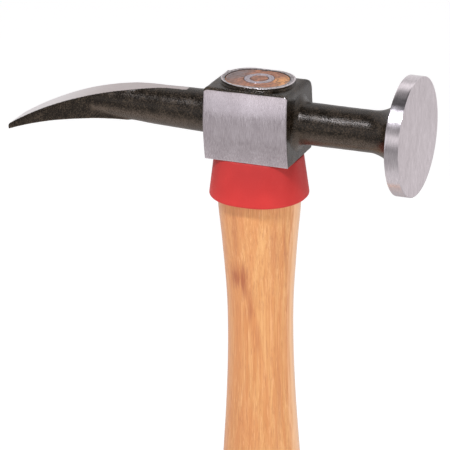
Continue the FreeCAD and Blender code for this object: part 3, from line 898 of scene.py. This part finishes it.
def ground_pein():
    """Bare steel on the pein's top, ground along its length."""
    material, tree, shade = finish_of("ground_pein")
    point = place_in_mm(tree)
    lines = speckle(tree, stretched(tree, point, (0.08, 1.0, 0.4)), 3.0, 3.0, 0.6)
    x = axes(tree, point)[0]
    near_eye = ramp(tree, lines, ((0.3, tint(0.53, 0.47, 0.46)), (0.7, tint(0.72, 0.65, 0.64))))
    near_tip = ramp(tree, lines, ((0.3, tint(0.78, 0.74, 0.74)), (0.7, tint(0.92, 0.89, 0.89))))
    shade(Base_Color=blend(tree, remap(tree, x, *BRIGHT_TIP_X), near_eye, near_tip),
          Metallic=1.0,
          Roughness=remap(tree, lines, 0.3, 0.7, 0.3, 0.4),
          Normal=bump(tree, lines, 0.004))
    return material


def polished_steel():
    """The disc's edge, polished bright, with fine lines around it."""
    material, tree, shade = finish_of("polished_steel")
    point = place_in_mm(tree)
    lines = speckle(tree, stretched(tree, point, (1.0, 0.12, 0.12)), 4.0, 3.0, 0.6)
    smear = speckle(tree, stretched(tree, point, (0.4, 1.0, 1.0)), 0.5, 3.0, 0.6)
    shade(Base_Color=ramp(tree, lines, ((0.3, tint(0.66, 0.61, 0.64)), (0.7, tint(0.86, 0.80, 0.83)))),
          Metallic=1.0,
          Roughness=maths(tree, "ADD", remap(tree, smear, 0.35, 0.7, 0.12, 0.22),
                          remap(tree, axes(tree, point)[2], *DULL_EDGE_Z, 0.0, 0.35)),
          Normal=bump(tree, smear, 0.02, bump(tree, lines, 0.003)))
    return material


def worn_rim():
    """The rim's top edge, worn bare and bright."""
    material, tree, shade = finish_of("worn_rim")
    point = place_in_mm(tree)
    pits = speckle(tree, point, 1.6, 3.0, 0.65)
    shade(Base_Color=ramp(tree, pits, ((0.38, tint(0.38, 0.34, 0.34)), (0.50, tint(0.78, 0.72, 0.74)),
                                       (0.62, tint(0.96, 0.92, 0.93)))),
          Metallic=1.0,
          Roughness=remap(tree, pits, 0.35, 0.65, 0.5, 0.3),
          Normal=bump(tree, pits, 0.03))
    return material


def grey_steel(name, dark, light):
    """Bare steel that has gone grey and pitted."""
    material, tree, shade = finish_of(name)
    point = place_in_mm(tree)
    pits = speckle(tree, point, 1.4, 3.0, 0.6)
    shade(Base_Color=ramp(tree, pits, ((0.38, dark), (0.62, light))),
          Metallic=1.0,
          Roughness=0.38,
          Normal=bump(tree, pits, 0.02))
    return material


def red_collar():
    """Moulded red plastic, dull, with a faint grain, and painted shade that darkens it towards its top, under
    the block.
    """
    material, tree, shade = finish_of("red_plastic")
    point = place_in_mm(tree)
    grain = speckle(tree, point, 2.2, 2.0, 0.6)
    cloud = speckle(tree, point, 0.12, 1.0)
    plastic = ramp(tree, cloud, ((0.35, tint(0.495, 0.024, 0.021)), (0.65, tint(0.545, 0.029, 0.025))))
    # Painted shade: darker towards the top, under the block
    shade_and_stain = remap(tree, axes(tree, point)[2], -COLLAR_FOOT, -BLOCK_TOP, 0.0, 0.28)
    shade(Base_Color=blend(tree, shade_and_stain, plastic, tint(0.12, 0.012, 0.012)),
          Roughness=remap(tree, grain, 0.35, 0.65, 0.5, 0.62),
          IOR=1.38,
          Normal=bump(tree, grain, 0.02))
    return material


def hickory():
    """Lacquered hickory: soft growth bands lie across the head, pores and streaks run up the handle; a
    painted highlight runs down its right side and a painted shadow lies just under the collar.
    """
    material, tree, shade = finish_of("hickory_wood")
    point = place_in_mm(tree)
    x, y, z = axes(tree, point)
    drift = speckle(tree, stretched(tree, point, (0.05, 0.05, 0.006)), 1.0, 2.0)
    waver = speckle(tree, stretched(tree, point, (0.25, 0.25, 0.008)), 1.0, 2.0)
    depth = maths(tree, "MULTIPLY_ADD", drift, 18.0, y)
    depth = maths(tree, "MULTIPLY_ADD", waver, 4.0, depth)
    depth = maths(tree, "MULTIPLY_ADD", x, 0.3, depth)
    rings = maths(tree, "FRACT", maths(tree, "DIVIDE", depth, BAND_WIDTH))
    late = maths(tree, "MULTIPLY", remap(tree, rings, 0.2, 0.85), remap(tree, rings, 0.88, 1.0, 1.0, 0.0))
    streaks = speckle(tree, stretched(tree, point, (1.0, 1.0, 0.012)), 0.8, 4.0, 0.68)
    threads = speckle(tree, stretched(tree, point, (1.0, 1.0, 0.022)), 2.8, 3.0, 0.7)
    pores = speckle(tree, stretched(tree, point, (1.0, 1.0, 0.07)), 2.6, 2.0, 0.6)
    dash = remap(tree, pores, 0.56, 0.66)
    pale = blend(tree, remap(tree, streaks, 0.29, 0.71), tint(0.605, 0.248, 0.074), tint(0.71, 0.356, 0.128))
    colour = blend(tree, maths(tree, "MULTIPLY", late, 0.4), pale, tint(0.60, 0.215, 0.066))
    zone = maths(tree, "MULTIPLY_ADD", maths(tree, "SUBTRACT", streaks, 0.5), 9.0, x)
    colour = blend(tree, remap(tree, zone, *BROWN_WOOD_X, 0.0, 0.3), colour, tint(0.60, 0.215, 0.070))
    colour = blend(tree, remap(tree, threads, 0.54, 0.64, 0.0, 0.42), colour, tint(0.50, 0.170, 0.052))
    colour = blend(tree, remap(tree, threads, 0.46, 0.34, 0.0, 0.4), colour, tint(0.86, 0.49, 0.235))
    colour = blend(tree, maths(tree, "MULTIPLY", dash, 0.3), colour, tint(0.40, 0.13, 0.045))
    for centre, reach, strength in SMUDGES:
        offset = node(tree, "ShaderNodeVectorMath", {0: point, 1: centre}, operation="SUBTRACT")
        spread = stretched(tree, offset, tuple(1 / r for r in reach))
        away = node(tree, "ShaderNodeVectorMath", {0: spread}, output="Value", operation="LENGTH")
        ragged = maths(tree, "MULTIPLY_ADD", maths(tree, "SUBTRACT", streaks, 0.5), -2.4, away)
        stain = remap(tree, ragged, 0.2, 1.2, strength, 0.0)
        colour = blend(tree, stain, colour, tint(0.39, 0.105, 0.034))
    # Painted highlight: a pale band where the handle's right side turns away from the front
    facing = axes(tree, node(tree, "ShaderNodeNewGeometry", output="Normal"))[1]
    turned = remap(tree, maths(tree, "MULTIPLY_ADD", streaks, 0.5, facing), -0.2, 0.1)
    beside = maths(tree, "MULTIPLY", remap(tree, x, *PAINTED_HIGHLIGHT_X), remap(tree, y, *PAINTED_HIGHLIGHT_Y, 1.0, 0.0))
    painted_highlight = maths(tree, "MULTIPLY", turned, beside)
    colour = blend(tree, maths(tree, "MULTIPLY", painted_highlight, 0.6), colour, tint(0.90, 0.56, 0.32))
    # Painted shadow: a dark band on the wood just under the collar's foot
    collar_shadow = remap(tree, z, -COLLAR_FOOT - COLLAR_SHADOW_DROP, -COLLAR_FOOT, 0.0, 0.45)
    colour = blend(tree, collar_shadow, colour, tint(0.36, 0.11, 0.05))
    shade(Base_Color=colour,
          Roughness=remap(tree, pores, 0.4, 0.7, 0.42, 0.55),
          Coat_Weight=0.6,
          Coat_Roughness=0.2,
          Normal=bump(tree, maths(tree, "SUBTRACT", 1.0, dash), 0.015))
    return material


def end_grain():
    """The wood's sawn end in the eye: brick orange, stained grey towards the pein, fresh towards the disc."""
    material, tree, shade = finish_of("end_grain")
    point = place_in_mm(tree)
    x, y, z = axes(tree, point)
    waver = speckle(tree, point, 0.25, 2.0)
    depth = maths(tree, "MULTIPLY_ADD", waver, 2.0, y)
    rings = maths(tree, "FRACT", maths(tree, "DIVIDE", depth, END_BAND_WIDTH))
    pores = speckle(tree, point, 1.3, 4.0, 0.7)
    cloud = speckle(tree, point, 0.2, 3.0, 0.6)
    shade_and_stain = maths(tree, "MULTIPLY_ADD", maths(tree, "SUBTRACT", cloud, 0.5), 16.0, x)
    colour = blend(tree, remap(tree, rings, 0.2, 0.9), tint(0.46, 0.20, 0.11), tint(0.32, 0.12, 0.07))
    colour = blend(tree, remap(tree, shade_and_stain, *GREY_END_X, 1.0, 0.0), colour, tint(0.20, 0.155, 0.15))
    colour = blend(tree, remap(tree, shade_and_stain, *FRESH_END_X), colour, tint(0.72, 0.33, 0.12))
    patch = speckle(tree, point, 0.42, 3.0, 0.7)
    colour = blend(tree, remap(tree, patch, 0.5, 0.64, 0.0, 0.7), colour, tint(0.13, 0.075, 0.055))
    colour = blend(tree, remap(tree, pores, 0.49, 0.62, 0.0, 0.85), colour, tint(0.09, 0.045, 0.03))
    shade(Base_Color=colour,
          Roughness=0.5,
          Normal=bump(tree, pores, 0.05))
    return material


def make_camera():
    """Stands where the photograph was taken from, and looks a little below the head."""
    towards = Vector((math.sin(CAMERA_AZIMUTH) * math.cos(CAMERA_ELEVATION),
                      -math.cos(CAMERA_AZIMUTH) * math.cos(CAMERA_ELEVATION),
                      math.sin(CAMERA_ELEVATION)))
    back = Vector((math.sin(CAMERA_YAW) * math.cos(CAMERA_PITCH),
                   -math.cos(CAMERA_YAW) * math.cos(CAMERA_PITCH),
                   math.sin(CAMERA_PITCH)))
    right = Vector((math.cos(CAMERA_YAW), math.sin(CAMERA_YAW), 0.0))
    up = back.cross(right)
    turned_right = right * math.cos(CAMERA_ROLL) + up * math.sin(CAMERA_ROLL)
    turned_up = up * math.cos(CAMERA_ROLL) - right * math.sin(CAMERA_ROLL)
    data = bpy.data.cameras.new("camera")
    data.lens = CAMERA_LENS
    data.sensor_width = SENSOR
    data.clip_end = 100.0
    camera = bpy.data.objects.new("camera", data)
    bpy.context.scene.collection.objects.link(camera)
    place = Matrix((turned_right, turned_up, back)).transposed().to_4x4()
    place.translation = EYE + towards * CAMERA_DISTANCE
    camera.matrix_world = place
    bpy.context.scene.camera = camera


def make_floor():
    """Plain pale ground. It isn't mirrored: the surroundings are."""
    mesh = bpy.data.meshes.new("floor")
    reach = FLOOR_REACH
    mesh.from_pydata([(-reach, -reach, 0), (reach, -reach, 0), (reach, reach, 0), (-reach, reach, 0)], [],
                     [(0, 1, 2, 3)])
    floor = bpy.data.objects.new("floor", mesh)
    bpy.context.scene.collection.objects.link(floor)
    material, tree, shade = finish_of("floor")
    shade(Base_Color=tint(0.45, 0.45, 0.45), Roughness=0.9, Emission_Color=tint(1.0, 1.0, 1.0),
          Emission_Strength=FLOOR_GLOW)
    mesh.materials.append(material)
    floor.visible_glossy = False
    floor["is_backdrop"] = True


def make_surroundings():
    """A white studio, brightest high up behind and a little above level in front, dark overhead."""
    world = bpy.data.worlds.new("studio")
    bpy.context.scene.world = world
    world.use_nodes = True
    tree = world.node_tree
    away = node(tree, "ShaderNodeVectorMath", {0: node(tree, "ShaderNodeTexCoord", output="Generated")},
                operation="NORMALIZE")
    x, y, z = axes(tree, away)
    share = maths(tree, "MULTIPLY_ADD", z, 0.5, 0.5)

    def levels(stops):
        return ramp(tree, share, [((height + 1) / 2, tint(*(level / BRIGHTEST * part for part in WHITE)))
                                  for height, level in stops])

    front = levels(FRONT_LEVELS)
    behind = levels(BACK_LEVELS)
    colour = blend(tree, remap(tree, y, *FRONT_TO_BACK), front, behind)
    tree.links.new(colour, tree.nodes["Background"].inputs["Color"])
    tree.nodes["Background"].inputs["Strength"].default_value = BRIGHTEST


def make_lamp(name, place, size, power):
    """A soft box that faces the eye block."""
    data = bpy.data.lights.new(name, "AREA")
    data.shape = "RECTANGLE"
    data.size, data.size_y = size
    data.energy = power
    data.color = LAMP_COLOUR
    lamp = bpy.data.objects.new(name, data)
    bpy.context.scene.collection.objects.link(lamp)
    lamp.location = EYE + Vector(place)
    lamp.rotation_euler = Vector(place).to_track_quat("Z", "Y").to_euler()
    return lamp


make_camera()
make_surroundings()
make_lamp("key", KEY_PLACE, KEY_SIZE, KEY_POWER)
make_lamp("key_core", [CORE_SHARE * v for v in KEY_PLACE], CORE_SIZE, CORE_POWER)
make_lamp("card", CARD_PLACE, CARD_SIZE, CARD_POWER).visible_camera = False
make_lamp("low_card", LOW_CARD_PLACE, LOW_CARD_SIZE, LOW_CARD_POWER).visible_camera = False
make_lamp("fill_right", FILL_RIGHT_PLACE, FILL_SIZE, FILL_RIGHT_POWER).visible_glossy = False
make_lamp("fill_left", FILL_LEFT_PLACE, FILL_SIZE, FILL_LEFT_POWER).visible_glossy = False
make_floor()
black = forged_black()

block = make_block([black, ground_steel("cheek_steel", cheek_shadow)])
make_rim([black, worn_rim(), grey_steel("stained_rim", tint(0.17, 0.15, 0.15), tint(0.62, 0.57, 0.58))])
make_neck_and_disc([black, ground_steel("face_steel", face_shadow), polished_steel()])
make_pein([black, ground_pein()])
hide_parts("hammer_head")
make_handle([hickory(), end_grain()])
make_ring_wedge([grey_steel("ring_steel", tint(0.36, 0.31, 0.34), tint(0.66, 0.60, 0.65))])
make_collar([red_collar()])
bpy.context.scene.view_settings.view_transform = "Standard"

[[list(corner) for corner in box] for box in (cad_box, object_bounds())]
